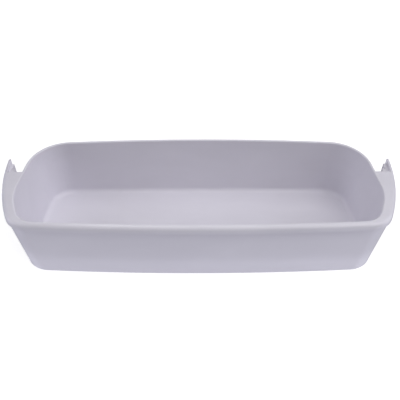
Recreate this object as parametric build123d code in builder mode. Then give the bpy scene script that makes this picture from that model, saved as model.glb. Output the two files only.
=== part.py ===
"""Fridge door shelf: one moulded tub with a rolled rim and two hanging ears.

Millimetres. +Z is up, -Y is the front that faces the room and +Y is the side towards the door.
The origin is the middle of the part's footprint, at the level of its flat underside.
"""
import os
from math import radians, sqrt, tan

from build123d import *

# Overall size
overall_width = 434.0
overall_depth = 145.0
overall_height = 80.0

# Tub walls
wall = 2.5
floor_thickness = 2.5
side_draft = 5.2
front_draft = 2.0
back_draft = 3.4
foot_front_inset = 20.3
foot_back_inset = 34.3

# Bows and corner rounds of the tub
front_bow = 6.5
foot_back_bow = 1.0
rim_back_bow = 8.0
foot_front_round = 27.6
rim_front_round = 24.5
foot_back_round = 30.0
rim_back_round = 44.5
floor_round = 6.0
foot_edge_round = 1.8

# Rolled rim along the front and the sides
lip_overhang = 4.5
lip_drop = 7.5
lip_wall = 3.0
rim_wall = 3.0
rim_corner_round = 27.5
mouth_flange = 12.2
mouth_front_round = 21.0
mouth_side_round = 57.0
floor_side_round = 28.0
mouth_draft = 1.0
mouth_round = 1.5
round_gap = 0.4

# Side skirts and ears that hang on the door
ear_wall = 4.0
ear_tip = 37.0
ear_radius = 214.0
ear_depth = 42.0
ear_tip_bevel = 0.6
shoulder = 14.0
skirt_start = -46.0
skirt_end = -12.0
skirt_blend = 12.0

# Stepped guide on the inner face of each ear, cored out from below
guide_steps = 2
guide_step_width = 3.6
guide_step_length = 8.5
guide_setback = 4.0
guide_drop = 5.0
guide_root = 7.0
guide_wall = 2.2

# Levels: upright bands at the foot, the floor and the mouth carry the rounds, and the draft runs between
foot_band = foot_edge_round + round_gap
floor_band = floor_thickness + floor_round + round_gap
mouth_level = overall_height - mouth_round - round_gap
lip_bottom = overall_height - lip_drop
rim_under = overall_height - rim_wall
skirt_bottom = overall_height - ear_depth
guide_top = overall_height - guide_drop
drafted_height = mouth_level - foot_band
floor_share = (floor_band - foot_band) / drafted_height

# Places worked out from the sizes above
rim_back = overall_depth / 2
lip_front = overall_depth / 2
rim_front = lip_front - lip_overhang
foot_front = rim_front - drafted_height * tan(radians(front_draft))
foot_back = rim_back - drafted_height * tan(radians(back_draft))
foot_front_half = overall_width / 2 - foot_front_inset
foot_back_half = overall_width / 2 - foot_back_inset
side_spread = drafted_height * tan(radians(side_draft))
floor_flange = mouth_flange + (mouth_level - floor_band) * tan(radians(mouth_draft))
lip_roll = lip_overhang + wall - mouth_round - round_gap
roll_bevel = (lip_roll - lip_wall) * (2 - sqrt(2))
back_bevel = wall - mouth_round - round_gap
front_radius = foot_front_half**2 / (2 * front_bow) + front_bow / 2
lip_radius = front_radius + lip_overhang
ear_half = overall_width / 2
open_back = ear_tip + ear_wall


def between(low, high, share):
    """Give the value at a share of the way from the foot to the mouth."""
    return low + share * (high - low)


def tub_plan(height, share, inset, front_corner, flange=None, side_corner=None):
    """Draw the tub's plan at one height: bowed front and back, straight sides and round corners.

    The front keeps the lip's centre, so that the lip stands out by the same amount all along.
    A flange draws the front corners in, along a circle that keeps that far inside the ear tips,
    and the side corner rounds the knee where that circle leaves the straight side.
    """
    front = between(foot_front, rim_front, share) - inset
    back = between(foot_back, rim_back, share) - inset
    front_half = foot_front_half + share * side_spread - inset
    back_half = foot_back_half + share * side_spread - inset
    radius = front + lip_radius - lip_front
    bow = radius - sqrt(radius**2 - front_half**2)
    back_bow = between(foot_back_bow, rim_back_bow, share)
    back_corner = between(foot_back_round, rim_back_round, share) - inset
    left_front = (-front_half, bow - front)
    right_front = (front_half, bow - front)
    right_back = (back_half, back - back_bow)
    left_back = (-back_half, back - back_bow)
    with BuildSketch(Plane.XY.offset(height)) as plan:
        with BuildLine():
            SagittaArc(left_front, right_front, -bow)
            Line(right_front, right_back)
            SagittaArc(right_back, left_back, -back_bow)
            Line(left_back, left_front)
        make_face()
        fillet(plan.vertices().group_by(Axis.Y)[-1], radius=back_corner)
        if flange is not None:
            with Locations((0, ear_tip)):
                Circle(ear_half - flange, mode=Mode.INTERSECT)
            fillet(plan.vertices().group_by(Axis.Y)[1], radius=side_corner)
        fillet(plan.vertices().group_by(Axis.Y)[0], radius=front_corner)
    return plan.sketch


def rim_plan(height, lip_inset, ear_inset, rear):
    """Draw the rim's plan: bowed lip, round front corners and sides that flare out to the ears.

    The insets move the lip and the ears inwards, to draw the inner faces of their walls.
    """
    with BuildSketch(Plane.XY.offset(height)) as plan:
        with Locations((0, lip_radius - lip_front)):
            Circle(lip_radius - lip_inset)
        with Locations((ear_half - ear_radius, ear_tip)):
            Circle(ear_radius - ear_inset, mode=Mode.INTERSECT)
        with Locations((0, rear)):
            Rectangle(ear_half, 2 * overall_depth, align=(Align.MIN, Align.MAX), mode=Mode.INTERSECT)
        fillet(plan.vertices().sort_by(Axis.Y)[1], radius=rim_corner_round - lip_inset)
        mirror(about=Plane.YZ)
    return plan.sketch


def guide_plan(inset):
    """Draw both stepped guides from below, each step shorter and further in than the last."""
    with BuildSketch(Plane.XY.offset(skirt_bottom)) as plan:
        for step in range(guide_steps):
            reach = ear_wall + (step + 1) * guide_step_width - inset
            length = ear_tip - guide_setback - step * guide_step_length - guide_root - 2 * inset
            with Locations((ear_half, guide_root + inset)):
                Rectangle(reach, length, align=(Align.MAX, Align.MIN))
        mirror(about=Plane.YZ)
    return plan.sketch


# Inside of the tub, with a round all along the floor
with BuildPart() as cavity:
    floor_plan = tub_plan(floor_thickness, floor_share, wall, mouth_front_round, floor_flange, floor_side_round)
    extrude(floor_plan, amount=floor_band - floor_thickness)
    wall_foot = tub_plan(floor_band, floor_share, wall, mouth_front_round, floor_flange, floor_side_round)
    wall_mouth = tub_plan(mouth_level, 1, wall, mouth_front_round, mouth_flange, mouth_side_round)
    loft(sections=[wall_foot, wall_mouth], ruled=True)
    extrude(wall_mouth, amount=overall_height - mouth_level)
    fillet(cavity.faces().sort_by(Axis.Z)[0].edges(), radius=floor_round)

# Pockets that core the guides out from below and leave an even wall
with BuildPart() as core:
    extrude(rim_plan(skirt_bottom, lip_wall, ear_wall, open_back), amount=guide_top - guide_wall - skirt_bottom)
    extrude(guide_plan(guide_wall), amount=ear_depth, mode=Mode.INTERSECT)

# Hollow under the rim: the roll keeps an even wall and the stepped guides stand out from the ears
with BuildPart() as hollow:
    extrude(rim_plan(skirt_bottom, lip_wall, ear_wall, open_back), amount=rim_under - skirt_bottom)
    inner_roll = hollow.faces().sort_by(Axis.Z)[-1].edges().sort_by(Axis.Y)[:-1]
    chamfer(inner_roll, length=roll_bevel)
    extrude(guide_plan(0), amount=ear_depth, mode=Mode.SUBTRACT)
    add(core.part)

# Gap behind the shoulder of the rim, which leaves each ear as a free strip above its guide
with BuildPart() as notch:
    extrude(rim_plan(skirt_bottom, lip_wall, ear_wall, open_back), amount=ear_depth)
    split(bisect_by=Plane.XZ.offset(-shoulder), keep=Keep.BOTTOM)
    extrude(guide_plan(0), amount=guide_top - skirt_bottom, mode=Mode.SUBTRACT)

# Rolled rim with its side skirts and ears, before it is joined to the tub
with BuildPart() as rim:
    extrude(rim_plan(skirt_bottom, 0, 0, ear_tip), amount=ear_depth)
    outer_roll = rim.faces().sort_by(Axis.Z)[-1].edges().sort_by(Axis.Y)[:-1]
    fillet(outer_roll, radius=lip_roll)
    with BuildSketch(Plane.YZ) as skirt_edge:
        with BuildLine():
            FilletPolyline(
                (-overall_depth, lip_bottom),
                (skirt_start, lip_bottom),
                (skirt_end, skirt_bottom),
                (overall_depth, skirt_bottom),
                radius=skirt_blend,
            )
            Polyline(
                (overall_depth, skirt_bottom),
                (overall_depth, 0),
                (-overall_depth, 0),
                (-overall_depth, lip_bottom),
            )
        make_face()
    extrude(amount=overall_width, both=True, mode=Mode.SUBTRACT)
    add(hollow.part, mode=Mode.SUBTRACT)
    add(notch.part, mode=Mode.SUBTRACT)
    chamfer(rim.edges().filter_by(Axis.Z).group_by(Axis.Y)[-1], length=ear_tip_bevel)

# The whole shelf: in front of the shoulders the tub stops under the rim's top
with BuildPart() as door_shelf:
    extrude(tub_plan(0, 0, 0, foot_front_round), amount=foot_band)
    tub_foot = tub_plan(foot_band, 0, 0, foot_front_round)
    tub_mouth = tub_plan(mouth_level, 1, 0, rim_front_round)
    loft(sections=[tub_foot, tub_mouth], ruled=True)
    extrude(tub_mouth, amount=overall_height - mouth_level)
    fillet(door_shelf.faces().sort_by(Axis.Z)[0].edges(), radius=foot_edge_round)
    chamfer(door_shelf.faces().sort_by(Axis.Z)[-1].edges(), length=back_bevel)
    with BuildSketch(Plane.YZ.offset(-overall_width)) as rim_seat:
        with Locations((shoulder, rim_under)):
            Rectangle(overall_depth, overall_height, align=(Align.MAX, Align.MIN))
    extrude(amount=2 * overall_width, mode=Mode.SUBTRACT)
    add(rim.part)
    add(cavity.part, mode=Mode.SUBTRACT)
    mouth_edges = door_shelf.faces().sort_by(Axis.Z)[-1].inner_wires()[0].edges()
    fillet(mouth_edges, radius=mouth_round)

door_shelf.part.label = "door_shelf"
os.makedirs("parts", exist_ok=True)
export_step(door_shelf.part, "parts/door_shelf.step")
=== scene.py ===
# %% [markdown]
# # A fridge door shelf in satin plastic
# The shelf is one injection moulding: a tub with a rolled front lip and two ears that hang on the door.
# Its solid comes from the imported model, in metres, with +Z up and the origin under the middle of the shelf.
# Nothing is screwed on or clipped in, so the whole likeness rests on three things.
# They are clean shading of the rounds, a plastic with the right depth, and soft light from all sides.

# %% Load the solid
import math

import bpy
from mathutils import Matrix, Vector


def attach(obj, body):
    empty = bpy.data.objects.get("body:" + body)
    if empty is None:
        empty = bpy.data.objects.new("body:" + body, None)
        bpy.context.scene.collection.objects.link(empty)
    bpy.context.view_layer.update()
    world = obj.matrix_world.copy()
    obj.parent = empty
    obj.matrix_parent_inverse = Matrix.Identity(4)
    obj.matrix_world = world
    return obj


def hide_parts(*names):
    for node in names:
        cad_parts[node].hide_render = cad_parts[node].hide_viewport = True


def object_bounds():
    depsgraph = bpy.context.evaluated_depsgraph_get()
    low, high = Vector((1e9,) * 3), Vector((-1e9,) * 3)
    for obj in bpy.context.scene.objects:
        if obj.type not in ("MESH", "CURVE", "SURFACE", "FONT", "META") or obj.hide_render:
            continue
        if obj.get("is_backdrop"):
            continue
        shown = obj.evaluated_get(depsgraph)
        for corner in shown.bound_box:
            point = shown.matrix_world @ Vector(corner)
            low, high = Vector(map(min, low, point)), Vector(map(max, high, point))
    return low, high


MILLIMETRE = 0.001

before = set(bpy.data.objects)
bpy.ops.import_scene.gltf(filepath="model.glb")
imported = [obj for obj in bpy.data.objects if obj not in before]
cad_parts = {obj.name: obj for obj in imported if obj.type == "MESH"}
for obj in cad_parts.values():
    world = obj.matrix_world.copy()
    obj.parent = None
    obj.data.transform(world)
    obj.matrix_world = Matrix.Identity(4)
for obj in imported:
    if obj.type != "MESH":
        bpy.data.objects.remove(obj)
cad_low, cad_high = (corner.copy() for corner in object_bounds())
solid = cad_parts["door_shelf"]
size_mm = [round(side / MILLIMETRE, 1) for side in cad_high - cad_low]
print("solid", size_mm, "mm,", len(solid.data.polygons), "triangles")

# %% [markdown]
# ## Three helpers for node trees
# Materials and Geometry Nodes are both trees of nodes, so three small helpers serve the whole lesson.
# One adds a node and sets its properties, and one joins an output socket to an input socket.
# The third adds a node that turns one span of values into another, which most masks below need.
# Sockets are picked by the name that the node shows in the editor, or by number where names repeat.


# %% Add, join and remap
def add_node(tree, kind, place, sockets=None, **settings):
    """Add one node at a place on the canvas, set its properties and then its input sockets."""
    node = tree.nodes.new(kind)
    node.location = place
    for name, value in settings.items():
        setattr(node, name, value)
    for name, value in (sockets or {}).items():
        node.inputs[name].default_value = value
    return node


def join(tree, source, output, target, socket):
    """Join an output of one node to an input of another."""
    tree.links.new(source.outputs[output], target.inputs[socket])


def remap(tree, place, span, reach=(0.0, 1.0)):
    """Add a node that turns a span of values into a reach of values, and holds them at its ends."""
    limits = dict(zip(("From Min", "From Max", "To Min", "To Max"), (*span, *reach)))
    return add_node(tree, "ShaderNodeMapRange", place, limits)


print("helpers ready:", add_node.__name__, join.__name__, remap.__name__)

# %% [markdown]
# ## The plastic, first its colour
# Shelves like this are moulded from a pale grey polystyrene with a faint lavender tint.
# Pigment never mixes perfectly, so the grey drifts a little along the way that the melt flowed.
# A large noise, stretched along the length, steers a colour ramp between two close tints.
# The two tints differ by about five parts in a hundred, which the eye reads as depth and not as stains.

# %% Plastic: tint and flow
DEEP_TINT = (0.655, 0.637, 0.697, 1)
PALE_TINT = (0.691, 0.673, 0.733, 1)

plastic = bpy.data.materials.new("satin_plastic")
plastic.use_nodes = True
tree = plastic.node_tree
tree.nodes.clear()
output = add_node(tree, "ShaderNodeOutputMaterial", (1100, 0))
surface = add_node(tree, "ShaderNodeBsdfPrincipled", (800, 0), {"IOR": 1.5})
join(tree, surface, "BSDF", output, "Surface")
place = add_node(tree, "ShaderNodeTexCoord", (-900, 0))

along = add_node(tree, "ShaderNodeMapping", (-600, 300), {"Scale": (1.0, 2.5, 2.5)})
flow = add_node(tree, "ShaderNodeTexNoise", (-350, 300), {"Scale": 9.0, "Detail": 3.0, "Distortion": 0.6})
tint = add_node(tree, "ShaderNodeValToRGB", (0, 300))
deep, pale = tint.color_ramp.elements
deep.position, deep.color = 0.3, DEEP_TINT
pale.position, pale.color = 0.7, PALE_TINT
join(tree, place, "Object", along, "Vector")
join(tree, along, "Vector", flow, "Vector")
join(tree, flow, "Fac", tint, "Fac")
join(tree, tint, "Color", surface, "Base Color")
print("tints", DEEP_TINT[:3], "and", PALE_TINT[:3])

# %% [markdown]
# ## The plastic, then its sheen
# The mould was textured, so the surface has a satin sheen that changes a little from place to place.
# Use changes it too: hands polish the top of the rim, and things that slide over the floor leave faint lines.
# Each effect is a mask built from Object coordinates, so it stays fixed to the part at any pose.
# The lines are a noise stretched hard along the length, kept only on the floor and the underside.

# %% Plastic: sheen and wear
SATIN = (0.38, 0.46)
SCUFF = 0.08
POLISH = 0.05
FLOOR_FADE = (3.0 * MILLIMETRE, 4.5 * MILLIMETRE)
RIM_FADE = (76.5 * MILLIMETRE, 79.5 * MILLIMETRE)

height = add_node(tree, "ShaderNodeSeparateXYZ", (-600, -150))
join(tree, place, "Object", height, "Vector")
cloud = add_node(tree, "ShaderNodeTexNoise", (-350, 50), {"Scale": 16.0, "Detail": 4.0})
join(tree, place, "Object", cloud, "Vector")
satin = remap(tree, (-100, 50), (0.3, 0.7), SATIN)
join(tree, cloud, "Fac", satin, "Value")

slide = add_node(tree, "ShaderNodeMapping", (-600, -350), {"Scale": (14.0, 650.0, 1.0)})
lines = add_node(tree, "ShaderNodeTexNoise", (-350, -350), {"Scale": 1.0, "Detail": 2.0})
worn = remap(tree, (-100, -350), (0.58, 0.70))
level = remap(tree, (-100, -600), FLOOR_FADE, (SCUFF, 0.0))
join(tree, place, "Object", slide, "Vector")
join(tree, slide, "Vector", lines, "Vector")
join(tree, lines, "Fac", worn, "Value")
join(tree, height, "Z", level, "Value")
scuffed = add_node(tree, "ShaderNodeMath", (200, -200), operation="MULTIPLY_ADD")
join(tree, worn, "Result", scuffed, 0)
join(tree, level, "Result", scuffed, 1)
join(tree, satin, "Result", scuffed, 2)

rim = remap(tree, (200, -450), RIM_FADE, (0.0, POLISH))
polished = add_node(tree, "ShaderNodeMath", (500, -200), operation="SUBTRACT")
join(tree, height, "Z", rim, "Value")
join(tree, scuffed, "Value", polished, 0)
join(tree, rim, "Result", polished, 1)
join(tree, polished, "Value", surface, "Roughness")
print("sheen: roughness from", round(SATIN[0] - POLISH, 2), "to", round(SATIN[1] + SCUFF, 2))

# %% [markdown]
# ## The plastic, last its relief
# Three small reliefs act on the shading normal and leave the mesh alone.
# No moulded edge is razor sharp, so a bevel node rounds every edge by half a millimetre in the shading.
# Long flat walls shrink as they cool and end up faintly wavy, which bends the soft reflections.
# On top sits the mould's own grain, finer than a millimetre.

# %% Plastic: edges, waves and grain
EDGE_ROUND = 0.5 * MILLIMETRE
WAVE_HEIGHT = 0.04 * MILLIMETRE
GRAIN_HEIGHT = 0.03 * MILLIMETRE

edge = add_node(tree, "ShaderNodeBevel", (-100, -850), {"Radius": EDGE_ROUND}, samples=6)
wave = add_node(tree, "ShaderNodeTexNoise", (-350, -1050), {"Scale": 45.0, "Detail": 1.0})
waves = add_node(tree, "ShaderNodeBump", (200, -850), {"Strength": 0.5, "Distance": WAVE_HEIGHT})
grain = add_node(tree, "ShaderNodeTexNoise", (-350, -1300), {"Scale": 1500.0, "Detail": 2.0})
grains = add_node(tree, "ShaderNodeBump", (500, -850), {"Strength": 0.25, "Distance": GRAIN_HEIGHT})
join(tree, place, "Object", wave, "Vector")
join(tree, place, "Object", grain, "Vector")
join(tree, wave, "Fac", waves, "Height")
join(tree, grain, "Fac", grains, "Height")
join(tree, edge, "Normal", waves, "Normal")
join(tree, waves, "Normal", grains, "Normal")
join(tree, grains, "Normal", surface, "Normal")
print("relief: edges, waves and grain, plastic now has", len(tree.nodes), "nodes")

# %% [markdown]
# ## Weld and smooth the moulding
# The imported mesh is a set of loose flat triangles, so its rounds would show as facets.
# A small Geometry Nodes tree welds the points, shades every face smooth and keeps true creases sharp.
# The rule for a crease is the angle between two faces, and that angle is a named input of the tree.
# The shape stays that of the solid: only the way that light reads it changes.


# %% Tree: weld, smooth and crease
def socket_names(tree, kinds):
    """Give a tree one geometry output, and one input of each named kind."""
    tree.interface.new_socket("Geometry", in_out="OUTPUT", socket_type="NodeSocketGeometry")
    for name, kind in kinds.items():
        tree.interface.new_socket(name, in_out="INPUT", socket_type="NodeSocket" + kind)
    return {item.name: item.identifier for item in tree.interface.items_tree if item.in_out == "INPUT"}


weld = bpy.data.node_groups.new("weld_and_smooth", "GeometryNodeTree")
kinds = {"Geometry": "Geometry", "Weld distance": "Float", "Crease angle": "Float", "Plastic": "Material"}
sockets = socket_names(weld, kinds)
given = add_node(weld, "NodeGroupInput", (-600, 0))
merged = add_node(weld, "GeometryNodeMergeByDistance", (-400, 0))
smooth = add_node(weld, "GeometryNodeSetShadeSmooth", (-200, 0), domain="FACE")
angle = add_node(weld, "GeometryNodeInputMeshEdgeAngle", (-400, -250))
creased = add_node(weld, "FunctionNodeCompare", (-200, -250), data_type="FLOAT", operation="GREATER_THAN")
sharp = add_node(weld, "GeometryNodeSetShadeSmooth", (0, 0), {"Shade Smooth": False}, domain="EDGE")
real = add_node(weld, "GeometryNodeRealizeInstances", (200, 0))
dressed = add_node(weld, "GeometryNodeSetMaterial", (400, 0))
result = add_node(weld, "NodeGroupOutput", (600, 0))
join(weld, given, "Weld distance", merged, "Distance")
join(weld, given, "Crease angle", creased, "B")
join(weld, given, "Plastic", dressed, "Material")
join(weld, angle, "Unsigned Angle", creased, "A")
join(weld, creased, "Result", sharp, "Selection")
chain = [given, merged, smooth, sharp, real, dressed, result]
for before, after in zip(chain, chain[1:]):
    join(weld, before, "Geometry", after, "Geometry")
print("tree", weld.name, "has inputs", list(sockets))

# %% [markdown]
# ## Make the visible piece
# The tree runs once on a copy of the solid's mesh, and its result is kept as a plain mesh.
# A weighted normal modifier follows it, so that broad flat walls stay flat right up to their rounds.
# Without it, the shading of each wall would bend towards its neighbours over its whole width.
# The finished piece then hangs from the root body in place of the solid, which is hidden.

# %% Moulding from the solid
WELD_DISTANCE = 0.01 * MILLIMETRE
CREASE_ANGLE = math.radians(32)

source = bpy.data.objects.new("shelf_source", solid.data.copy())
bpy.context.scene.collection.objects.link(source)
run = source.modifiers.new("weld", "NODES")
run.node_group = weld
run[sockets["Weld distance"]] = WELD_DISTANCE
run[sockets["Crease angle"]] = CREASE_ANGLE
run[sockets["Plastic"]] = plastic
flat = source.modifiers.new("flat", "WEIGHTED_NORMAL")
flat.keep_sharp = True
flat.weight = 100
evaluated = bpy.context.evaluated_depsgraph_get()
mesh = bpy.data.meshes.new_from_object(source.evaluated_get(evaluated), depsgraph=evaluated)
bpy.data.objects.remove(source)
shelf = bpy.data.objects.new("shelf_moulding", mesh)
bpy.context.scene.collection.objects.link(shelf)
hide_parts("door_shelf")
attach(shelf, "root")
print("moulding:", len(mesh.vertices), "points,", len(mesh.polygons), "triangles")

# %% [markdown]
# ## A white table and a white backdrop
# The shelf stands on a plain white table, inside a white backdrop that goes all the way round.
# Both glow a little, as a light table does, so the ground stays white and only a faint contact shadow shows.
# The table's glow grows with the distance from the shelf, to make up for the panels' light, which falls off.
# That much white would throw light back at the part and flatten its front wall.
# So the stage is only there for the camera to see, and the panels of the next step do the lighting.

# %% Table and backdrop
WHITE = (1, 1, 1, 1)
PAPER_GREY = (0.35, 0.35, 0.35, 1)
GLOW_SPAN = (0.5, 2.0)
TABLE_SIDE = 12
BACKDROP_RADIUS = 5.5


def white_stage(piece, near_glow, far_glow):
    """Dress a piece of the stage in glowing white and keep its light off the part."""
    paper = bpy.data.materials.new(piece.name + "_white")
    paper.use_nodes = True
    tree = paper.node_tree
    sheet = tree.nodes["Principled BSDF"]
    sheet.inputs["Base Color"].default_value = PAPER_GREY
    sheet.inputs["Roughness"].default_value = 0.9
    sheet.inputs["Emission Color"].default_value = WHITE
    place = add_node(tree, "ShaderNodeTexCoord", (-900, -300))
    away = add_node(tree, "ShaderNodeVectorMath", (-700, -300), operation="LENGTH")
    glow = remap(tree, (-450, -300), GLOW_SPAN, (near_glow, far_glow))
    join(tree, place, "Object", away, "Vector")
    join(tree, away, "Value", glow, "Value")
    join(tree, glow, "Result", sheet, "Emission Strength")
    piece.data.materials.append(paper)
    piece.visible_diffuse = False
    piece.visible_glossy = False
    piece.visible_shadow = False
    piece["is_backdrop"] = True


bpy.ops.mesh.primitive_plane_add(size=TABLE_SIDE)
floor = bpy.context.object
floor.name = "floor"
white_stage(floor, 0.82, 0.95)
bpy.ops.mesh.primitive_uv_sphere_add(segments=64, ring_count=32, radius=BACKDROP_RADIUS)
backdrop = bpy.context.object
backdrop.name = "backdrop"
white_stage(backdrop, 0.94, 0.94)
print("table", round(floor.dimensions.x, 1), "m wide, backdrop", round(backdrop.dimensions.x, 1), "m across")

# %% [markdown]
# ## A tent of soft light
# Product photographs of pale plastic are lit from all sides, as in a tent of white cloth.
# Five large panels stand in for the tent, and a dim world fills what they leave.
# The two on the right outshine the one on the left, so the left inner wall is lighter than the right one.
# A small panel above the tub lifts the right inner wall, which the low left one can't reach in full.
# Four strips shine up through the table, in place of the light that a table throws back.
# The three in front make the wall lighter towards its foot and leave a soft dark line under the lip.
# The strips and the panels at the two sides are a little cool, which brings out the lavender of the flat rim.
# The plain view transform keeps the white ground white, where a film-like one would turn it grey.

# %% Lights
NEUTRAL = (1.0, 1.0, 1.0)
COOL = (0.9, 0.9, 1.0)
SHELF_MIDDLE = (0, 0, 0.05)
RIGHT_WALL = (0.2, 0, 0.04)
UNDER_TABLE = -4 * MILLIMETRE
WORLD_GLOW = 0.06


def panel(name, place, size, power, target=SHELF_MIDDLE, colour=NEUTRAL):
    """Add one square light panel that faces a target."""
    data = bpy.data.lights.new(name, "AREA")
    data.size = size
    data.energy = power
    data.color = colour
    lamp = bpy.data.objects.new(name, data)
    bpy.context.scene.collection.objects.link(lamp)
    lamp.location = place
    lamp.rotation_euler = (Vector(target) - Vector(place)).to_track_quat("-Z", "Y").to_euler()
    return lamp


def strip(name, middle, width, depth, power):
    """Add one strip of cool light that lies just under the table and shines up through it."""
    lamp = panel(name, (0, middle, UNDER_TABLE), width, power, colour=COOL)
    lamp.data.shape = "RECTANGLE"
    lamp.data.size_y = depth
    lamp.rotation_euler = (math.pi, 0, 0)
    return lamp


# Metres and watts: a panel's place, side and power, then a strip's middle along Y, width, depth and power
panels = [
    panel("roof", (0, 0.1, 1.2), 0.8, 3.5),
    panel("right_front", (0.6, -0.5, 1.1), 0.9, 6.8),
    panel("right", (1.3, -0.12, 0.6), 0.9, 7.0, colour=COOL),
    panel("low_left", (-1.2, -0.06, 0.4), 0.8, 6.7, colour=COOL),
    panel("rear", (0, 1.3, 0.4), 0.9, 4.8),
    panel("inner", (-0.12, 0, 0.28), 0.12, 0.1, target=RIGHT_WALL),
    strip("foot_strip", -0.07, 0.8, 0.03, 0.05),
    strip("near_strip", -0.12, 0.9, 0.16, 0.16),
    strip("wide_strip", -0.30, 2.0, 0.44, 1.97),
    strip("rear_strip", 0.18, 0.9, 0.2, 0.6),
]
world = bpy.data.worlds.new("studio")
bpy.context.scene.world = world
world.use_nodes = True
sky = world.node_tree.nodes["Background"]
sky.inputs["Color"].default_value = WHITE
sky.inputs["Strength"].default_value = WORLD_GLOW
bpy.context.scene.view_settings.view_transform = "Standard"
print("panels", {lamp.name: round(lamp.data.energy, 2) for lamp in panels}, "watts")

# %% [markdown]
# ## The camera
# The photograph looks down at the shelf by about 44 degrees, from the front and nearly square on.
# The focal length, place and tilt were fitted to the outline.
# Most of the outline then lies within a pixel of the photograph's, and its corners within three.

# %% Camera
SENSOR_WIDTH = 36
FITTED_LENS = 47.1
FITTED_PLACE = (0.00015, -0.42096, 0.46055)
FITTED_TILT = math.radians(45.71)
FITTED_TURN = math.radians(-0.14)

camera_data = bpy.data.cameras.new("camera")
camera_data.sensor_width = SENSOR_WIDTH
camera_data.lens = FITTED_LENS
camera = bpy.data.objects.new("camera", camera_data)
bpy.context.scene.collection.objects.link(camera)
camera.location = FITTED_PLACE
camera.rotation_euler = (FITTED_TILT, 0, FITTED_TURN)
bpy.context.scene.camera = camera
print("camera", round(camera.location.length, 3), "m away, lens", round(camera_data.lens, 1), "mm")
